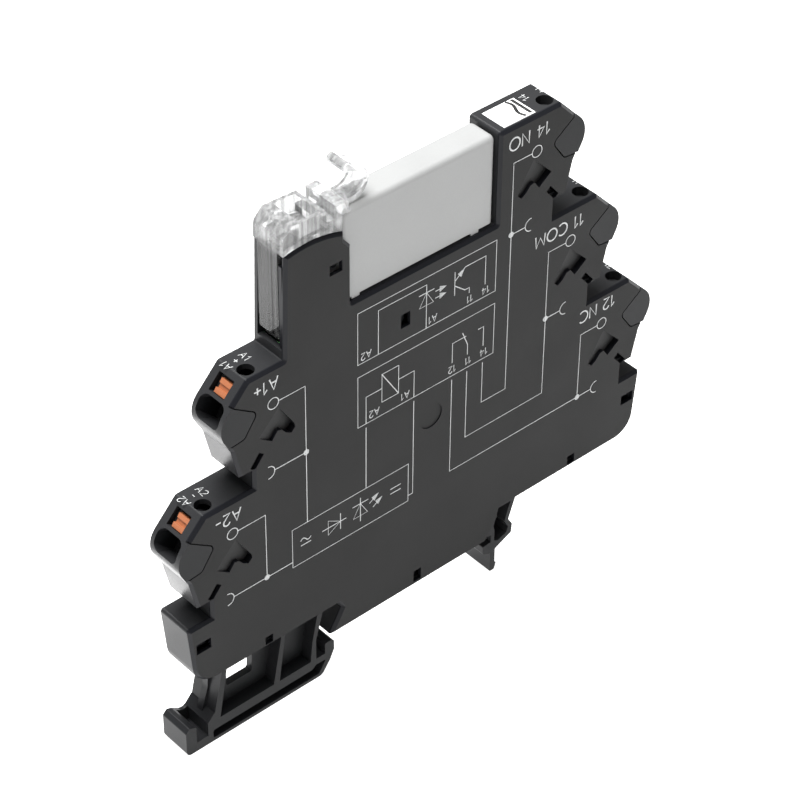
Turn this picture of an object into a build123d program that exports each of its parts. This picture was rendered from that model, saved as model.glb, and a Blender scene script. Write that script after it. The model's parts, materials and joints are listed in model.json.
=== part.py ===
from build123d import *
import os
from math import cos, radians, sin

# Slim plug-in relay module for a 35 mm mounting rail, in millimetres.
# Origin: middle of the seat on the rail. +X output side, +Y away from the printed side, +Z up.

# Relay
RELAY_L = 27.95
RELAY_W = 5.0
RELAY_H = 15.05
RELAY_X = -12.1          # left end
RELAY_GAP = 0.25         # to the output tower
SEAT_Z = 59.75           # platform under the relay
RELAY_Z = SEAT_Z + 0.05
RELAY_WALL = 0.45
RELAY_ROUND = 0.9
RELAY_FOOT = 0.45        # height of the feet under the cap
FOOT_L = 1.4
FOOT_FROM_LEFT = 1.9
FOOT_FROM_RIGHT = 2.85
PIN_T = 0.4
PIN_W = 2.0
PIN_LEN = 3.0
PIN_PITCH = 5.0          # contact pins
PIN_FROM_END = 1.95      # last pin from the relay's right end
LAST_PIN = RELAY_L - PIN_FROM_END
PIN_PLACES = {"a2": 3.4, "a1": 7.2,
              "12": LAST_PIN - 2 * PIN_PITCH, "11": LAST_PIN - PIN_PITCH, "14": LAST_PIN}
SOCKET_WALL = 0.45
SOCKET_GAP = 0.03

# Inside the relay, from its left end and underside
INNER_Y = RELAY_W / 2 - RELAY_WALL
COIL_Z = 6.8             # coil axis
COIL_FROM = 3.2
COIL_TO = PIN_PLACES["12"] - 1.8
CORE = (0.75, 1.5)       # half thickness and half height of the core
POLE_X = 2.9             # pole face
ARMATURE_X = (1.5, 2.4)
BASE_TOP = 1.6
YOKE_T = 0.9
ARM_PIVOT = (2.4, 2.2)
SPRING_X = PIN_PLACES["11"]
LEAF_T = 0.2
LEAF_ROOT = 0.25         # bead at the leaf's root
CONTACT_Z = 9.6
CONTACT_GAP = 0.4

# Housing
WIDTH = 6.4              # along Y
SIDE = 0.65              # side cover and back wall
RIM = 0.9                # wall round the outline
EDGE = 0.45              # chamfer round the printed side
AXIS_X = 3.46            # middle of the terminal steps
STEP_X = 8.17            # each lower terminal stands this much further out
STEP_Z = 19.36           # height of one terminal step
TOP_Z = 75.2             # top of the output tower
BLOCK_SETBACK = 1.04     # lowest step behind the tips of the lowest terminals
BLOCK_LEAN = 1.1         # its wall leans in by this much
BOTTOM_Z = 5.42          # underside beside the rail seat
CORNER = 4.0             # lower outer corners
SHELL_GAP = 0.2          # groove between cover and what shows through it
SNAP_DEPTH = 1.1         # snap hooks below the printed side
POCKET_SLOPE = 11.0      # degrees

# Terminal nose, measured inwards and down from its tip and shelf
NOSE_PAST_RELAY = 16.61  # top terminal's tip beyond the relay's right end
NOSE_REACH = RELAY_X + RELAY_L + NOSE_PAST_RELAY - AXIS_X   # that tip from the axis
NOSE_FACE = 4.78         # shelf edge
NOSE_PEAK = (-0.89, -6.0)
NOSE_ROUND = 3.9
NOSE_KINK = (1.75, -10.85)
NOSE_FOOT = (3.0, -16.15)
NOSE_BACK = 5.3          # wall below the nose
ENTRY = (0.95, -5.1)     # middle of the wire opening
ENTRY_ANGLE = 35.0       # wire direction below the horizontal
ENTRY_W = 4.9            # wire opening along Y
ENTRY_H = 3.8            # wire opening across
ENTRY_ROUND = 1.2
WIRE_D = 3.0             # wire channel behind the funnel
FUNNEL = 5.05            # length of the wire guide
PROBE = (6.16, -1.0, 2.5)   # test hole in the shelf: place along X and Y, diameter

SNAP_IN_NOSE = (5.9, -14.6, 2.6, 1.05, 51.0)   # snap window in each nose: place, size and turn
BLOCK_REACH = NOSE_REACH + 2 * STEP_X - BLOCK_SETBACK       # lowest step from the axis

# Marker tag in the output tower's top
RELAY_END = RELAY_X + RELAY_L + RELAY_GAP
TAG_FROM = RELAY_END + 1.4
TAG_L = 6.0
TAG_W = 4.65
TAG_T = 0.7
TAG_PROUD = 0.05         # top of the tag above the tower
TAG_FIT = 0.05
TAG_WELL = 1.0           # depth of the recess

# Terminal mechanism, along and above the wire axis
STRIP_W = 3.2            # width of bars and springs along Y
BAR_T = 0.6
BAR_LEVEL = -1.95
BAR_LOWS = {"14": 54.5, "11": 42.0, "12": 22.7}   # level of each bar's run under the relay
CLAMP_FROM = 5.35
CLAMP_TO = 12.0
SPRING_T = 0.3
BUTTON_T = (2.5, 4.7)    # lower and upper side of the button
BUTTON_W = 2.3
BUTTON_LEN = 8.2
BUTTON_FIT = 0.12
BUTTON_ROOM = 0.6        # free space for the screwdriver beside and over the head

# Input tower and retaining clip
TOWER_LEFT = -22.6
TOWER_RIGHT = -10.72
TOWER_TOP = 73.3
TOWER_ARC = (-18.2, 56.6)
SLOT_FROM = 57.3         # slot for the clip's leg in the tower's left wall
LEG_Y = (-1.75, 2.4)
PIVOT = (-20.3, 58.0)
HUB_R = 1.35
PIVOT_R = 0.8
PIVOT_FIT = 0.06
LEG_X = (-22.3, -19.9)
TAIL_END = -10.3

# Rail and rail latch
RAIL = 35.0
SEAT_LEFT = -15.1
SEAT_RELIEF = 0.15       # step at both ends of the seat
SEAT_ENDS = (-13.8, 15.85)
FOOT_LOW = -7.5
FOOT_WEB = 1.5           # side of the fixed foot's web
LATCH_Y = 2.7            # half width of the latch
WEB = 0.6                # half thickness of the latch web
GUIDE_Z = BOTTOM_Z + RIM + 1.6

# Circuit board
BOARD_T = 0.8
BOARD_Y = 1.65           # side that carries the parts
BOARD_LEFT = -18.6
BOARD_RIGHT = 2.4
BOARD_LOW = 11.0
BOARD_HIGH = 55.6

NEAR = -WIDTH / 2
FAR = WIDTH / 2
IN_NEAR = NEAR + SIDE
IN_FAR = FAR - SIDE
TERMINALS = {"14": (0, 1), "11": (1, 1), "12": (2, 1), "a1": (1, -1), "a2": (2, -1)}


def slab(sketch, y0, y1):
    """Solid of a sketch drawn as (X, Z), from y0 to y1."""
    return Pos(0, y1, 0) * Rot(90, 0, 0) * extrude(sketch, y1 - y0)


def shape(points, radii=0.0):
    """Filled outline of points, each with its rounding."""
    return make_face(FilletPolyline(*points, radius=radii, close=True))


def rect(x0, x1, z0, z1):
    return Pos((x0 + x1) / 2, (z0 + z1) / 2) * Rectangle(x1 - x0, z1 - z0)


def strip(points, radii, thick):
    """Bent strip seen on edge, with the rounding of each bend."""
    path = FilletPolyline(*points, radius=radii)
    return make_face(offset(path, amount=thick / 2, side=Side.BOTH, kind=Kind.INTERSECTION))


def save(solid, name):
    solid.label = name
    export_step(solid, "parts/" + name + ".step")


def tip(name):
    """Tip and shelf of a terminal's nose, and the side it points to."""
    row, side = TERMINALS[name]
    return AXIS_X + side * (NOSE_REACH + row * STEP_X), TOP_Z - row * STEP_Z, side


def along(s, t):
    """Point s along the wire direction and t above it, from the nose's tip inwards."""
    a = radians(ENTRY_ANGLE)
    return ENTRY[0] + s * cos(a) + t * sin(a), ENTRY[1] - s * sin(a) + t * cos(a)


def wire_face(sketch):
    """Turns a sketch drawn along the wire into the nose's frame."""
    return Pos(*ENTRY) * Rot(0, 0, -ENTRY_ANGLE) * sketch


def at_terminal(name, solid):
    """Puts a solid drawn for a nose that points to -X at its terminal."""
    x, z, side = tip(name)
    return Pos(x, 0, z) * (solid if side < 0 else mirror(solid, about=Plane.YZ))


def in_world(name, point):
    x, z, side = tip(name)
    return x - side * point[0], z + point[1]


def step_points(rows, side):
    """Outline of the terminal steps of one side, from the top down, with roundings."""
    nose = [((NOSE_FACE, 0), 0.5), (NOSE_PEAK, NOSE_ROUND), (NOSE_KINK, 0), (NOSE_FOOT, 0),
            ((NOSE_BACK, NOSE_FOOT[1]), 0), ((NOSE_BACK, -STEP_Z), 0)]
    points = []
    for row in rows:
        x = AXIS_X + side * (NOSE_REACH + row * STEP_X)
        z = TOP_Z - row * STEP_Z
        points += [((x - side * dx, z + dz), r) for (dx, dz), r in nose]
    points.append(((AXIS_X + side * BLOCK_REACH, TOP_Z - 3 * STEP_Z), 0.5))
    points.append(((AXIS_X + side * (BLOCK_REACH - BLOCK_LEAN), BOTTOM_Z), CORNER))
    return points


def outline():
    """Side view of the housing without its rail foot."""
    left = step_points((1, 2), -1)
    right = step_points((0, 1, 2), 1)
    half = RAIL / 2
    top = [((TOWER_LEFT, TOP_Z - STEP_Z), 0.2), ((TOWER_LEFT + 0.5, TOWER_TOP), 0),
           ((-12.0, TOWER_TOP), 0), ((-11.86, 70.8), 0), ((TOWER_RIGHT, 69.4), 0),
           ((TOWER_RIGHT, SEAT_Z), 0.2), ((RELAY_END, SEAT_Z), 0.2), ((RELAY_END, TOP_Z), 0.5)]
    seat = [((half + 1.1, BOTTOM_Z), 0), ((half + 1.0, 3.8), 0), ((half - 0.9, 1.1), 0),
            ((half - 1.5, 0), 0), ((SEAT_LEFT, 0), 0), ((SEAT_LEFT + 2.4, 4.2), 0),
            ((SEAT_LEFT + 1.8, BOTTOM_Z), 0)]
    corners = top + right + seat + left[::-1]
    face = shape([p for p, r in corners], [r for p, r in corners])
    reach = TOWER_TOP - TOWER_ARC[1]
    crown = rect(TOWER_LEFT - 1, TOWER_RIGHT, TOWER_TOP - 4, TOWER_TOP + 1)
    return face - (crown - Pos(*TOWER_ARC) * Circle(reach))


def seat_relief():
    """Steps at both ends of the seat, over the rail hooks."""
    low, high = SEAT_ENDS
    ends = rect(SEAT_LEFT - 1, low, -0.5, SEAT_RELIEF) + rect(high, RAIL / 2 + 0.15, -0.5, SEAT_RELIEF)
    return slab(ends, NEAR - 1, FAR + 1)


def fixed_foot():
    """Side view of the fixed foot, which holds the rail's right flange."""
    half = RAIL / 2
    corners = [((half + 5.1, BOTTOM_Z + RIM), 0), ((half + 5.1, BOTTOM_Z), 0.2), ((half + 4.5, 3.6), 0.4),
               ((half + 3.7, 1.3), 0.4), ((half + 4.55, -0.1), 0.4), ((half + 4.4, -1.8), 0.4),
               ((half + 2.6, -2.6), 0.8), ((half + 1.05, -3.3), 0.3), ((half + 1.05, -5.9), 0),
               ((half + 1.35, -6.3), 0.2), ((half + 1.05, FOOT_LOW), 0.3), ((half + 0.06, FOOT_LOW), 0.2),
               ((half + 0.06, -3.7), 0), ((half - 1.5, -3.0), 0.3), ((half - 1.5, -1.5), 0.2),
               ((half + 0.15, -1.4), 0), ((half + 0.15, 0), 0), ((half - 3.0, 0), 0),
               ((half - 3.0, RIM), 0), ((half - 0.6, BOTTOM_Z + RIM), 0)]
    return shape([p for p, r in corners], [r for p, r in corners])


def foot_hollow():
    """Hollow of the fixed foot, open towards the cover."""
    x = RAIL / 2
    return shape([(x + 1.5, BOTTOM_Z - 0.6), (x + 4.1, BOTTOM_Z - 0.6), (x + 3.6, 3.6), (x + 2.9, 1.3),
                  (x + 3.7, -0.3), (x + 3.4, -1.3), (x + 1.6, -1.9), (x + 0.85, -1.5),
                  (x + 0.85, 0.6), (x + 0.6, 1.6)])


def wire_guide():
    """Side view of the wire guide of a nose that points to -X."""
    corners = [(-6, 2.3), (FUNNEL, 2.3), (FUNNEL, -2.0), (3.1, -3.7), (0, -7)]
    return wire_face(shape(corners, [0, 1.0, 0.9, 0, 0]))


def entry_tool():
    """Tapered wire opening and the channel behind it."""
    a = radians(ENTRY_ANGLE)
    x, z = ENTRY
    plane = Plane(origin=(x, 0, z), x_dir=(0, 1, 0), z_dir=(cos(a), 0, -sin(a)))
    opening = plane * RectangleRounded(ENTRY_W, ENTRY_H, ENTRY_ROUND)
    mouth = extrude(plane * Rectangle(ENTRY_W, ENTRY_H), FUNNEL - 1.2, taper=5) & extrude(opening, FUNNEL)
    lead = extrude(opening, -3)
    channel = extrude(plane * Circle(WIRE_D / 2), FUNNEL + 0.5)
    return mouth + lead + channel


def button_shaft():
    """Guide of the button and the wider recess round its head."""
    low, high = BUTTON_T
    side = BUTTON_W / 2 + BUTTON_FIT
    guide = slab(wire_face(rect(-4, CLAMP_FROM, low - BUTTON_FIT, high + BUTTON_FIT)), -side, side)
    recess = slab(wire_face(rect(-4, 0.9, low - BUTTON_FIT, high + BUTTON_ROOM)), -side, side + BUTTON_ROOM)
    return guide + recess


def probe_tool():
    """Blind test hole in the shelf."""
    x, y, diameter = PROBE
    return Pos(x, y, 0) * Cylinder(diameter / 2, 2 * RIM + 1.2)


def nose_block():
    """Solid part of the nose that guides the wire and the button."""
    guide = rect(-6, 2.0, 2.0, 8) + rect(0, FUNNEL, -3.2, 2.1)
    return wire_face(guide + rect(1.9, 6.0, BUTTON_T[1] + BUTTON_ROOM, BUTTON_T[1] + BUTTON_ROOM + 0.6))


def snap_windows():
    """Windows of the snap hooks: place, width, height and how deep the hook's post reaches."""
    left, right = AXIS_X - BLOCK_REACH, AXIS_X + BLOCK_REACH
    return [(-13.5, 67.0, 2.2, 1.7, IN_FAR), (-1.0, 51.9, 1.7, 2.4, IN_FAR),
            (left + 2.54, 12.9, 2.6, 1.9, IN_FAR), (-26.6, 6.75, 1.4, 1.5, -1.0),
            (1.9, 1.9, 1.5, 2.2, IN_FAR), (33.5, 6.9, 1.5, 1.7, IN_FAR),
            (right - 2.56, 12.8, 2.5, 1.8, IN_FAR)]


def nose_window():
    x, z, length, width, turn = SNAP_IN_NOSE
    return Pos(x, z) * Rot(0, 0, turn) * Rectangle(length, width)


def snap_hook(face, reach):
    """Post behind a window, its head below the cover."""
    return slab(offset(face, amount=-SHELL_GAP, kind=Kind.INTERSECTION), NEAR + SNAP_DEPTH, reach)


def latch_slot():
    return Pos((-39.0 - 16.9) / 2, 0, BOTTOM_Z + RIM / 2) * Box(39.0 - 16.9, 2 * WEB + 0.3, RIM + 0.6)


def housing_base():
    face = outline()
    inner = offset(face, amount=-RIM, kind=Kind.INTERSECTION)
    body = slab(face, IN_NEAR, FAR) - slab(inner, IN_NEAR - 1, IN_FAR)
    added = [slab(fixed_foot(), IN_NEAR, FAR) - slab(foot_hollow(), IN_NEAR - 1, FOOT_WEB)]
    cuts = [tag_seat(), latch_slot(), seat_relief()]
    plate = offset(wire_guide(), amount=-SHELL_GAP, kind=Kind.INTERSECTION) & nose_area()
    nose = (slab((nose_block() + wire_guide()) & nose_area(), IN_NEAR, IN_FAR)
            + slab(plate, NEAR, IN_NEAR)
            + slab(wire_face(rect(7.0, CLAMP_TO, 6.45, 7.05)), IN_NEAR, IN_FAR)
            + snap_hook(nose_window(), IN_FAR))
    nose_cut = entry_tool() + button_shaft() + probe_tool()
    for name in TERMINALS:
        added.append(at_terminal(name, nose))
        cuts.append(at_terminal(name, nose_cut))
    for x, z, w, h, reach in snap_windows():
        added.append(snap_hook(rect(x - w / 2, x + w / 2, z - h / 2, z + h / 2), reach))
    for place in PIN_PLACES.values():
        hole = Box(PIN_T + 2 * SOCKET_WALL + 0.4, PIN_W + 0.8, RIM + 0.4)
        cuts.append(Pos(RELAY_X + place, 0, SEAT_Z - RIM / 2) * hole)
    cuts.append(slab(rect(TOWER_LEFT - 1, -13.2, SLOT_FROM, TOWER_TOP + 1), IN_NEAR - 1, IN_FAR))
    cuts.append(slab(rect(TOWER_LEFT - 1, TOWER_RIGHT + 1, 71.2, TOWER_TOP + 1), IN_NEAR - 1, IN_FAR))
    cuts.append(slab(rect(-14.5, RELAY_X + 2.2, SLOT_FROM, SEAT_Z + 3.9), IN_NEAR - 1, IN_FAR))
    cuts.append(slab(rect(RELAY_X - 0.2, TOWER_RIGHT + 1, SEAT_Z, TOWER_TOP + 1), IN_NEAR - 1, IN_FAR))
    cuts.append(pivot_hole(IN_FAR))
    return body + added - cuts


def nose_area():
    """Outline of the nose itself."""
    return shape([(NOSE_FACE, 0), NOSE_PEAK, NOSE_KINK, NOSE_FOOT, (16, NOSE_FOOT[1]), (16, 0)],
                 [0.5, NOSE_ROUND, 0, 0, 0, 0])


def pivot_hole(y):
    return Pos(PIVOT[0], y, PIVOT[1]) * Rot(90, 0, 0) * Cylinder(PIVOT_R + PIVOT_FIT, 0.9)


def tag_seat():
    """Recess for the marker tag in the output tower's top."""
    well = Box(TAG_L + 2 * TAG_FIT, TAG_W + 2 * TAG_FIT, 2 * TAG_WELL)
    return Pos(TAG_FROM + TAG_L / 2, 0, TOP_Z) * well


def pocket_outline():
    """Recess beside each clamp, in the nose's frame."""
    return shape([(9.87, -7.14), (6.3, -10.8), (8.6, -12.5), (9.55, -11.2), (10.3, -11.35), (11.1, -12.3),
                  (12.0, -12.85), (12.7, -12.1), (12.55, -11.4)])


def pocket_tool(side):
    """Recess whose floor falls away from its upper left edge, on both sides of the module."""
    start, turn = ((6.3, -10.8), 44.3) if side < 0 else ((9.87, -7.14), 135.7)
    body = slab(pocket_outline(), NEAR - 0.5, NEAR + 1.2)
    floor = Rot(0, turn, 0) * Rot(0, 0, POCKET_SLOPE) * Pos(0, 2, 0) * Box(24, 4, 24)
    return body - Pos(start[0], NEAR, start[1]) * floor


def side_cover():
    plate = slab(outline(), NEAR, IN_NEAR)
    plate = chamfer(plate.edges().group_by(Axis.Y)[0], EDGE)
    boss = offset(pocket_outline(), amount=0.45, kind=Kind.INTERSECTION)
    boss -= offset(wire_guide(), amount=SHELL_GAP, kind=Kind.INTERSECTION)
    boss -= offset(nose_window(), amount=SHELL_GAP, kind=Kind.INTERSECTION)
    lip = rect(TOWER_LEFT + 0.3, TOWER_LEFT + 1.3, SLOT_FROM, 71.0)
    added = [slab(lip, IN_NEAR, LEG_Y[0] - 0.15)]
    cuts = [seat_relief(), pivot_hole(IN_NEAR), Pos(4.05, NEAR, 31.8) * Rot(90, 0, 0) * Cylinder(2.15, 0.3)]
    nose_cut = slab(wire_guide(), NEAR - 1, IN_NEAR + 1) + slab(nose_window(), NEAR - 1, IN_NEAR + 1)
    for name, (row, side) in TERMINALS.items():
        added.append(at_terminal(name, slab(boss, IN_NEAR, IN_NEAR + 0.6)))
        cuts.append(at_terminal(name, nose_cut + pocket_tool(side)))
    for x, z, w, h, reach in snap_windows():
        cuts.append(slab(rect(x - w / 2, x + w / 2, z - h / 2, z + h / 2), NEAR - 1, IN_NEAR + 1))
    return plate + added - cuts


def marker_tag():
    tag = Pos(TAG_FROM + TAG_L / 2, 0, TOP_Z + TAG_PROUD - TAG_T / 2) * Box(TAG_L, TAG_W, TAG_T)
    return chamfer(tag.edges().group_by(Axis.Z)[-1], 0.15)


def current_bar(name):
    """Bar under the clamp that runs to the relay socket or the board."""
    start = in_world(name, along(CLAMP_FROM, BAR_LEVEL))
    bend = in_world(name, along(CLAMP_TO, BAR_LEVEL))
    if name in PIN_PLACES and name not in ("a1", "a2"):
        x = RELAY_X + PIN_PLACES[name]
        low = BAR_LOWS[name]
        points = [start, bend, (bend[0] - 1.5, low), (x, low), (x, SEAT_Z - 3.5)]
        bar = slab(strip(points, [0.8, 0.8, 0.8], BAR_T), -STRIP_W / 2, STRIP_W / 2)
        return bar + socket_contact(x)
    low = bend[1] - 1.0
    points = [start, bend, (bend[0] + 1.4, low), (BOARD_LEFT + 4.0, low)]
    bar = slab(strip(points, [0.6, 0.6], BAR_T), -STRIP_W / 2, STRIP_W / 2)
    tail = slab(rect(BOARD_LEFT + 1.0, BOARD_LEFT + 4.0, low - BAR_T / 2, low + BAR_T / 2), 0, BOARD_Y)
    return bar + tail


def socket_contact(x):
    """Fork that takes a relay pin."""
    wide = PIN_T + 2 * SOCKET_GAP + 2 * SOCKET_WALL
    low = SEAT_Z - 3.7
    fork = rect(x - wide / 2, x + wide / 2, low, SEAT_Z - RIM - 0.1)
    gap = rect(x - PIN_T / 2 - SOCKET_GAP, x + PIN_T / 2 + SOCKET_GAP, low + 0.35, SEAT_Z)
    return slab(fork - gap, -PIN_W / 2 - 0.2, PIN_W / 2 + 0.2)


def coil_contact(name):
    """Socket contact that stands on the board."""
    x = RELAY_X + PIN_PLACES[name]
    leg = slab(rect(x - BAR_T / 2, x + BAR_T / 2, SEAT_Z - 9.0, SEAT_Z - 3.6), -PIN_W / 2, PIN_W / 2)
    foot = slab(rect(x - BAR_T / 2, x + BAR_T / 2, SEAT_Z - 9.0, SEAT_Z - 6.5), 0, BOARD_Y)
    return socket_contact(x) + leg + foot


def clamp_spring():
    points = [(11.6, 6.1), (7.4, 6.1), (7.75, 5.1), (11.4, BAR_LEVEL + BAR_T / 2 + 0.35)]
    return slab(wire_face(strip(points, [0.45, 0.3], SPRING_T)), -STRIP_W / 2, STRIP_W / 2)


def release_button():
    """Push button with a stepped head for a screwdriver, a collar and a stem."""
    low, high = BUTTON_T
    half = BUTTON_W / 2
    rise = (high - low) / 3
    head = [(2.4, low), (-0.55, low), (-0.55, low + rise), (-0.3, low + rise), (-0.3, low + 2 * rise),
            (-0.05, low + 2 * rise), (-0.05, high), (2.4, high)]
    body = slab(wire_face(shape(head)), -half, half)
    collar = slab(wire_face(rect(2.2, 3.4, low, high + 0.4)), -half - 0.5, half + 0.5)
    stem = slab(wire_face(rect(3.4, BUTTON_LEN - 0.95, low + 0.3, high - 0.4)), -half, half)
    return body + collar + stem


def circuit_board():
    """Board with a tongue for the light at the clip's foot."""
    tongue = BOARD_LEFT - 2.8
    face = shape([(BOARD_LEFT, BOARD_LOW), (BOARD_RIGHT, BOARD_LOW), (BOARD_RIGHT, 50.0), (-2.6, 50.0),
                  (-2.6, BOARD_HIGH), (tongue, BOARD_HIGH), (tongue, 53.9), (BOARD_LEFT, 53.9)])
    return slab(face, BOARD_Y, BOARD_Y + BOARD_T)


def board_part(x, z, long, wide, high):
    """Small part on the board, with its rounding."""
    body = Pos(x, BOARD_Y - high / 2, z) * Box(long, high, wide)
    return chamfer(body.edges().group_by(Axis.Y)[0], 0.12)


def relay_cover():
    x0 = RELAY_X
    low = RELAY_Z + RELAY_FOOT
    high = RELAY_H - RELAY_FOOT
    cap = Pos(x0 + RELAY_L / 2, 0, low + high / 2) * Box(RELAY_L, RELAY_W, high)
    cap = fillet(cap.edges().filter_by(Axis.Z), RELAY_ROUND)
    cap = fillet(cap.edges().group_by(Axis.Z)[-1], RELAY_ROUND)
    room = Box(RELAY_L - 2 * RELAY_WALL, RELAY_W - 2 * RELAY_WALL, high - RELAY_WALL)
    cap -= Pos(x0 + RELAY_L / 2, 0, low + (high - RELAY_WALL) / 2) * room
    for x in (x0 + FOOT_FROM_LEFT, x0 + RELAY_L - FOOT_FROM_RIGHT - FOOT_L):
        for side in (-1, 1):
            y = side * (RELAY_W - RELAY_WALL) / 2
            cap += Pos(x + FOOT_L / 2, y, RELAY_Z + RELAY_FOOT / 2) * Box(FOOT_L, RELAY_WALL, RELAY_FOOT)
    return cap


def relay_box(x0, x1, y, z0, z1):
    """Block in the relay, from its left end and underside."""
    return Pos(RELAY_X + (x0 + x1) / 2, 0, RELAY_Z + (z0 + z1) / 2) * Box(x1 - x0, 2 * y, z1 - z0)


def relay_face(x0, x1, z0, z1):
    return rect(RELAY_X + x0, RELAY_X + x1, RELAY_Z + z0, RELAY_Z + z1)


def relay_base():
    plate = relay_box(RELAY_WALL + 0.05, RELAY_L - RELAY_WALL - 0.05, INNER_Y - 0.05, RELAY_FOOT, BASE_TOP)
    for place in PIN_PLACES.values():
        plate -= relay_box(place - PIN_T / 2, place + PIN_T / 2, PIN_W / 2, 0, BASE_TOP + 1)
    return plate


def coil_bobbin():
    ty, tz = CORE
    spool = relay_box(COIL_FROM, COIL_TO, ty + 0.45, COIL_Z - tz - 0.45, COIL_Z + tz + 0.45)
    for x in (COIL_FROM, COIL_TO - 0.7):
        spool += relay_box(x, x + 0.7, INNER_Y - 0.1, COIL_Z - 3.8, COIL_Z + 3.8)
    return spool - relay_box(0, 20, ty + 0.05, COIL_Z - tz - 0.05, COIL_Z + tz + 0.05)


def coil_winding():
    ty, tz = CORE
    x0, x1 = COIL_FROM + 0.7, COIL_TO - 0.7
    coil = relay_box(x0, x1, INNER_Y - 0.25, COIL_Z - 3.4, COIL_Z + 3.4)
    coil = fillet(coil.edges().filter_by(Axis.X), 1.3)
    return coil - relay_box(x0 - 1, x1 + 1, ty + 0.45, COIL_Z - tz - 0.45, COIL_Z + tz + 0.45)


def core():
    ty, tz = CORE
    return relay_box(POLE_X, COIL_TO + 0.1, ty, COIL_Z - tz, COIL_Z + tz)


def yoke():
    """Angle of sheet: leg under the coil and leg behind it."""
    back = COIL_TO + 0.1
    points = [(ARM_PIVOT[0] + 0.15, BASE_TOP + 0.1), (back + YOKE_T, BASE_TOP + 0.1),
              (back + YOKE_T, COIL_Z + 3.6), (back, COIL_Z + 3.6), (back, BASE_TOP + 0.1 + YOKE_T),
              (ARM_PIVOT[0] + 0.15, BASE_TOP + 0.1 + YOKE_T)]
    face = Pos(RELAY_X, RELAY_Z) * shape(points, [0, 0.5, 0, 0, 0, 0])
    return slab(face, -1.6, 1.6)


def armature():
    x0, x1 = ARMATURE_X
    plate = relay_box(x0, x1, 1.6, BASE_TOP + 0.15, 12.2)
    return fillet(plate.edges().filter_by(Axis.Y), 0.15)


def actuator_card():
    """Slider over the coil, from the armature to the contact spring."""
    x0 = ARMATURE_X[1] + 0.12
    x1 = SPRING_X - LEAF_T / 2 - 0.25
    bar = relay_box(x0, x1, 1.2, 11.3, 12.3)
    heel = relay_box(x0, x0 + 0.9, 1.6, 10.95, 12.3)
    toe = relay_box(x1 - 0.9, x1, 1.6, 10.95, 12.3)
    return bar + heel + toe


def contact_spring():
    """Leaf with a rivet contact on both sides."""
    root = BASE_TOP + 0.1 + LEAF_ROOT
    leaf = relay_box(SPRING_X - LEAF_T / 2, SPRING_X + LEAF_T / 2, 1.4, root, 12.4)
    rivet = Rot(0, 90, 0) * Cylinder(0.9, LEAF_T + 0.7)
    bead = Rot(90, 0, 0) * Cylinder(LEAF_ROOT, 2.8)
    place = Pos(RELAY_X + SPRING_X, 0, RELAY_Z)
    return leaf + place * Pos(0, 0, CONTACT_Z) * rivet + place * Pos(0, 0, root) * bead


def fixed_contact(name, side, gap):
    """Post of a fixed contact with its pin and rivet."""
    pin = PIN_PLACES[name]
    face_x = SPRING_X + side * (LEAF_T / 2 + 0.35 + gap)
    post = face_x + side * (0.35 + PIN_T / 2)
    points = [(pin, -PIN_LEN), (pin, BASE_TOP + 0.35), (post, BASE_TOP + 0.35), (post, CONTACT_Z + 1.05)]
    face = Pos(RELAY_X, RELAY_Z) * strip(points, [0.3, 0.3], PIN_T)
    rivet = Pos(RELAY_X + face_x + side * 0.2, 0, RELAY_Z + CONTACT_Z) * Rot(0, 90, 0) * Cylinder(0.9, 0.4)
    return slab(face, -PIN_W / 2, PIN_W / 2) + rivet


def straight_pin(name):
    pin = PIN_PLACES[name]
    return relay_box(pin - PIN_T / 2, pin + PIN_T / 2, PIN_W / 2, -PIN_LEN, BASE_TOP)


def retaining_clip():
    """Clear lever: leg that guides the light, head over the relay's corner, tail under the relay."""
    y0, y1 = LEG_Y
    px, pz = PIVOT
    left, right = LEG_X
    leg = shape([(left, pz + 0.6), (left, TOWER_TOP - 0.6), (right, TOWER_TOP - 0.6), (right, pz),
                 (px, pz - 0.5)], [0.6, 0, 0, 0, 0])
    tail = shape([(px, pz + 0.1), (px, pz + 1.4), (TAIL_END, SEAT_Z - 0.25), (TAIL_END, SEAT_Z - 1.1),
                  (px + 2, pz - 0.4)])
    lever = slab(leg + tail + Pos(px, pz) * Circle(HUB_R), y0, y1)
    lever += Pos(px, 0, pz) * Rot(90, 0, 0) * Cylinder(PIVOT_R, 2 * IN_FAR + 0.5)
    return lever + clip_head()


def clip_head():
    """Head of the clip, as wide as the module, with a curved finger over the relay."""
    reach = TOWER_TOP - TOWER_ARC[1] + 0.3
    low = RELAY_Z + RELAY_H + 0.25
    top = low + 1.95
    block = shape([(-22.4, 71.0), (-22.4, top - 1.4), (-20.8, top + 0.3), (-15.0, top), (-15.0, low),
                   (-13.4, low), (-13.4, top), (-11.3, top), (-10.9, low), (-12.3, low), (-12.5, 71.0)],
                  [0, 1.2, 0.4, 0, 0, 0, 0, 0.3, 0, 0, 0])
    block -= Pos(*TOWER_ARC) * Circle(reach)
    neck = shape([(LEG_X[0], 71.0), (LEG_X[0], 74.5), (-14.0, 74.5), (-14.0, 72.2), (LEG_X[1], 71.8)])
    finger = strip([(-12.6, low + 0.45), (-7.0, low + 0.45), (-7.0, low + 4.2), (-10.3, low + 5.9)],
                   [2.4, 2.0], 0.9)
    lug = Pos(-10.2, low + 5.85) * Circle(0.75)
    head = slab(block, NEAR + 0.1, FAR - 0.1) + slab(neck, *LEG_Y) + slab(finger + lug, -1.7, 1.7)
    head -= slab(rect(-19.4, -15.7, low - 0.6, top + 1), NEAR + 0.7, FAR - 0.7)
    return head


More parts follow.
